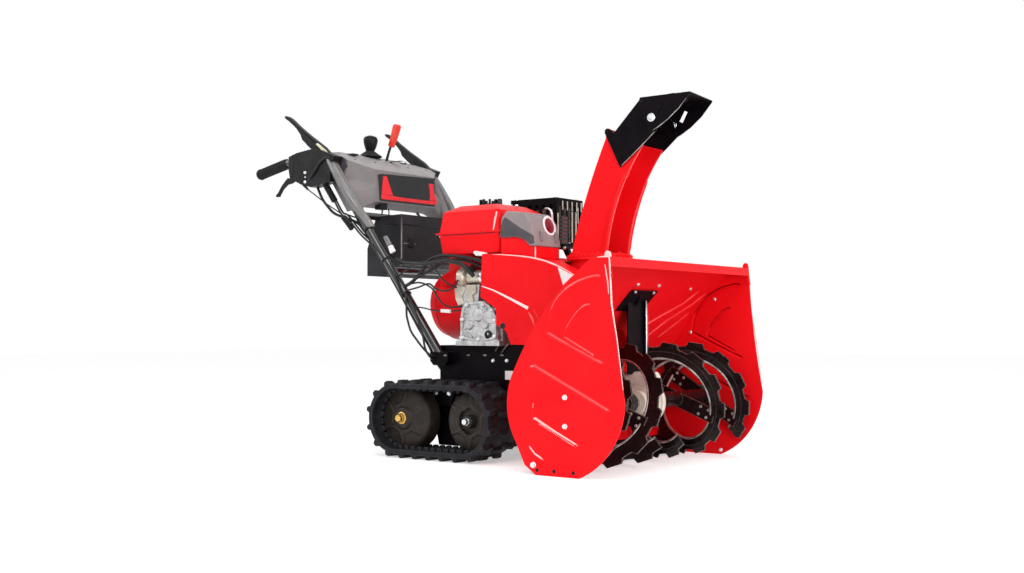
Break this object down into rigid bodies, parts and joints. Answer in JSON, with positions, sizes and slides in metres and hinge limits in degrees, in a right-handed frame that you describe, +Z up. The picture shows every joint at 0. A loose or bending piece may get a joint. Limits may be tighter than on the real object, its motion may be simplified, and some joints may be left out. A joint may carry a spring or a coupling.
{
  "type": "tracked walk-behind snow blower",
  "caption": "Walk-behind snow blower on rubber tracks: wide auger housing with serrated augers, impeller drum, turning discharge chute with guides, petrol engine, handlebars and console.",
  "frame": {"origin": "on the floor under the middle of the machine's bounding box", "axes": "+X forward to the auger, +Y to the machine's left, +Z up"},
  "size_m": [1.5924, 0.816, 1.126],
  "materials": {
    "track_rubber": "matte",
    "wheel_plastic": "satin",
    "black_paint": "satin",
    "red_paint": "gloss",
    "red_plastic": "gloss",
    "steel": "satin",
    "cast_aluminium": "matte",
    "auger_black": "gloss",
    "starter_zinc": "satin",
    "black_plastic": "satin",
    "gray_plastic": "matte",
    "exhaust_steel": "matte",
    "grip_rubber": "matte",
    "plate_black": "gloss",
    "lever_red": "gloss",
    "cable_rubber": "satin"
  },
  "bodies": {
    "tracks": {"track_left": "track_rubber", "track_right": "track_rubber", "idler_wheels": "wheel_plastic", "drive_wheels": "wheel_plastic", "track_frame": "black_paint"},
    "auger": {"auger_left": "auger_black", "auger_right": "auger_black", "auger_shaft": "steel"},
    "impeller": {"impeller": "auger_black", "impeller_shaft": "steel"},
    "chute": {"chute": "red_paint", "chute_ring": "black_plastic"},
    "lower_guide": {"lower_guide": "black_paint"},
    "upper_guide": {"upper_guide": "black_paint"},
    "machine": {"main_frame": "black_paint", "transmission": "black_paint", "auger_housing": "red_paint", "side_plate_left": "red_paint", "side_plate_right": "red_paint", "scraper_bar": "black_paint", "auger_bearings": "steel", "blower_drum": "red_paint", "auger_gearbox": "cast_aluminium", "gearbox_stay": "black_paint", "engine_block": "cast_aluminium", "fan_shroud": "red_paint", "recoil_starter": "red_paint", "starter_motor": "starter_zinc", "cylinder_head": "cast_aluminium", "fuel_tank": "red_paint", "fuel_cap": "black_plastic", "air_cleaner_cover": "gray_plastic", "air_cleaner_base": "red_plastic", "muffler": "exhaust_steel", "muffler_guard": "black_paint", "belt_cover": "red_plastic", "handlebars": "black_paint", "handle_grips": "grip_rubber", "lever_brackets": "black_plastic", "clutch_paddles": "black_plastic", "steering_triggers": "black_plastic", "battery_box": "black_plastic", "console": "gray_plastic", "console_plate": "plate_black", "chute_joystick": "black_plastic", "speed_lever": "lever_red", "control_cables": "cable_rubber"}
  },
  "joints": [
    {"name": "body_tilt", "type": "hinge", "parent": "tracks", "child": "machine", "pos_m": [0.16, 0, 0.121], "axis": [0, -1, 0], "range_deg": [0, 8]},
    {"name": "auger_spin", "type": "hinge", "parent": "machine", "child": "auger", "pos_m": [0.604, 0, 0.184], "axis": [0, 1, 0], "continuous": true},
    {"name": "impeller_spin", "type": "hinge", "parent": "machine", "child": "impeller", "pos_m": [0.36, 0, 0.245], "axis": [1, 0, 0], "continuous": true},
    {"name": "chute_turn", "type": "hinge", "parent": "machine", "child": "chute", "pos_m": [0.456, 0, 0.62], "axis": [0, 0, 1], "range_deg": [-111.5, 98.5]},
    {"name": "guide_tilt", "type": "hinge", "parent": "chute", "child": "lower_guide", "pos_m": [0.51959, 0.00724, 0.984], "axis": [-0.1132, 0.9936, 0], "range_deg": [0, 35]},
    {"name": "upper_guide_tilt", "type": "hinge", "parent": "lower_guide", "child": "upper_guide", "pos_m": [0.63286, 0.02015, 1.064], "axis": [-0.1132, 0.9936, 0], "range_deg": [0, 35]}
  ],
  "couplings": [
    {"joint": "impeller_spin", "follows": "auger_spin", "ratio": 10},
    {"joint": "upper_guide_tilt", "follows": "guide_tilt", "ratio": 1}
  ]
}
